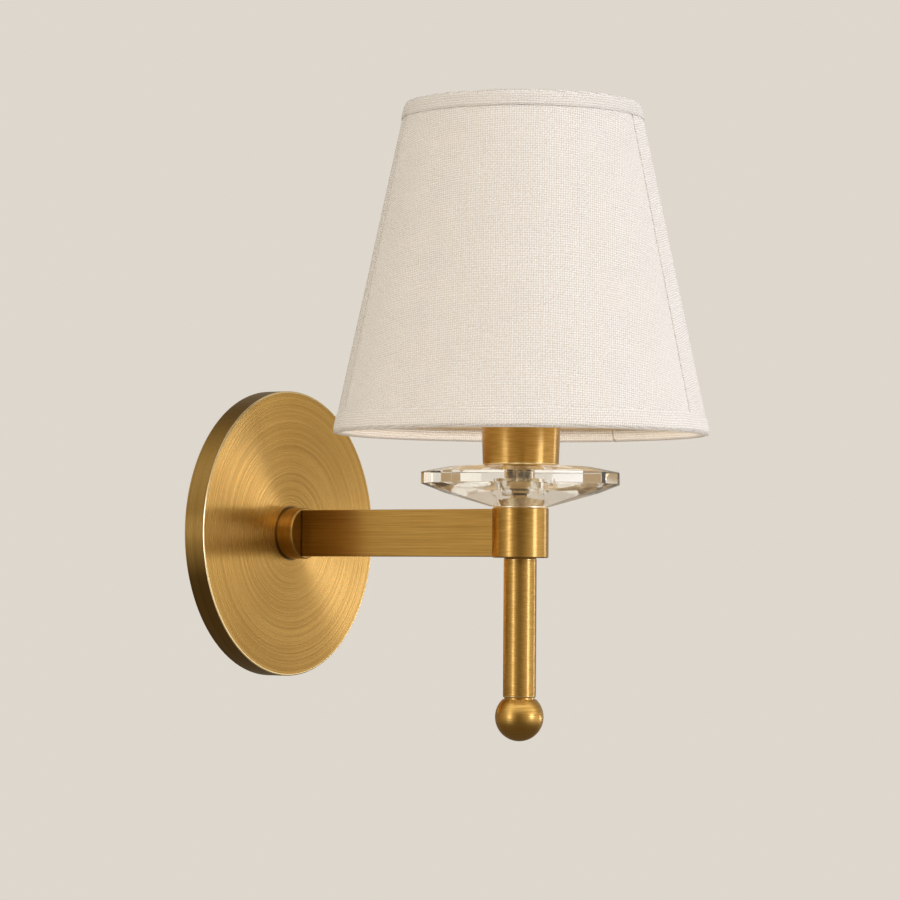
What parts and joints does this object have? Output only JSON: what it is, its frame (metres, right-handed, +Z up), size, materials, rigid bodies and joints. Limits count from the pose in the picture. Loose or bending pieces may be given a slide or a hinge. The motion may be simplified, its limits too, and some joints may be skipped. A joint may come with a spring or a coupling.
{
  "type": "fabric shade wall light",
  "caption": "Wall light with a round brass wall plate, flat brass arm, hanging rod with ball, faceted crystal dish, candle lampholder and a conical linen shade that turns on its ring.",
  "frame": {"origin": "centre of the wall plate's back face, on the wall and level with the middle of the arm", "axes": "+Z up, +Y into the wall, so the light reaches out along -Y; +X to the right seen from the front"},
  "size_m": [0.153, 0.2012, 0.2578],
  "materials": {
    "satin_brass": "antique satin brass, brushed and lacquered",
    "plain_brass": "turned brass, unlacquered",
    "zinc_steel": "bright zinc plated",
    "nickel_brass": "nickel plated brass",
    "crystal": "cut and polished clear crystal",
    "clear_plastic": "clear acrylic",
    "linen": "natural off-white linen weave",
    "shade_lining": "warm white lining film",
    "white_wire": "white powder coat",
    "white_plastic": "moulded, satin",
    "black_glass": "vitreous insulator",
    "bulb_glass": "clear blown glass",
    "filament": "phosphor coated",
    "brown_pvc": "smooth sleeve",
    "blue_pvc": "smooth sleeve",
    "green_pvc": "smooth sleeve",
    "spring_bronze": "rolled spring strip",
    "lead_tip": "solder"
  },
  "bodies": {
    "root": {"wall_bracket": "zinc_steel", "canopy": "satin_brass", "canopy_grub_screws": "zinc_steel", "earth_screw": "zinc_steel", "earth_tag": "nickel_brass", "terminal_block": "white_plastic", "terminal_sleeves": "plain_brass", "terminal_screws": "zinc_steel", "block_screws": "zinc_steel", "lead_live": "brown_pvc", "lead_neutral": "blue_pvc", "lead_earth": "green_pvc", "arm_nipple": "plain_brass", "arm_lock_washer": "zinc_steel", "arm_locknut": "plain_brass", "arm_boss": "satin_brass", "arm_tube": "satin_brass", "collar": "satin_brass", "drop_stud": "zinc_steel", "drop_rod": "satin_brass", "finial_stud": "zinc_steel", "ball_finial": "satin_brass", "stem_nipple": "plain_brass", "crystal_lower_washer": "clear_plastic", "crystal_sleeve": "clear_plastic", "crystal_bobeche": "crystal", "crystal_upper_washer": "clear_plastic", "socket_cup": "satin_brass", "cup_nut": "plain_brass", "holder_cap": "white_plastic", "holder_core": "white_plastic", "holder_terminals": "plain_brass", "contact_rivets": "plain_brass", "holder_skirt": "white_plastic", "screw_shell": "nickel_brass", "centre_contact": "spring_bronze", "shade_clamp_ring": "white_plastic"},
    "shade": {"carrier_ring": "white_wire", "spoke_1": "white_wire", "spoke_2": "white_wire", "spoke_3": "white_wire", "bottom_wire": "white_wire", "top_wire": "white_wire", "shade_liner": "shade_lining", "shade_cover": "linen", "shade_bottom_band": "linen", "shade_top_band": "linen"},
    "bulb_tip": {"bulb_contact": "lead_tip"},
    "bulb": {"bulb_insulator": "black_glass", "bulb_cap": "nickel_brass", "bulb_glass": "bulb_glass", "bulb_stem": "bulb_glass", "bulb_filaments": "filament"}
  },
  "joints": [
    {"name": "shade_turn", "type": "hinge", "parent": "root", "child": "shade", "pos_m": [0, -0.1247, 0.0779], "axis": [0, 0, 1], "continuous": true},
    {"name": "bulb_rise", "type": "slide", "parent": "root", "child": "bulb_tip", "axis": [0, 0, 1], "range_m": [0, 0.01412]},
    {"name": "bulb_turn", "type": "hinge", "parent": "bulb_tip", "child": "bulb", "pos_m": [0, -0.1247, 0.0606], "axis": [0, 0, 1], "range_deg": [0, 1800]}
  ],
  "couplings": [
    {"joint": "bulb_rise", "follows": "bulb_turn", "m_per_rad": 0.00044914}
  ]
}
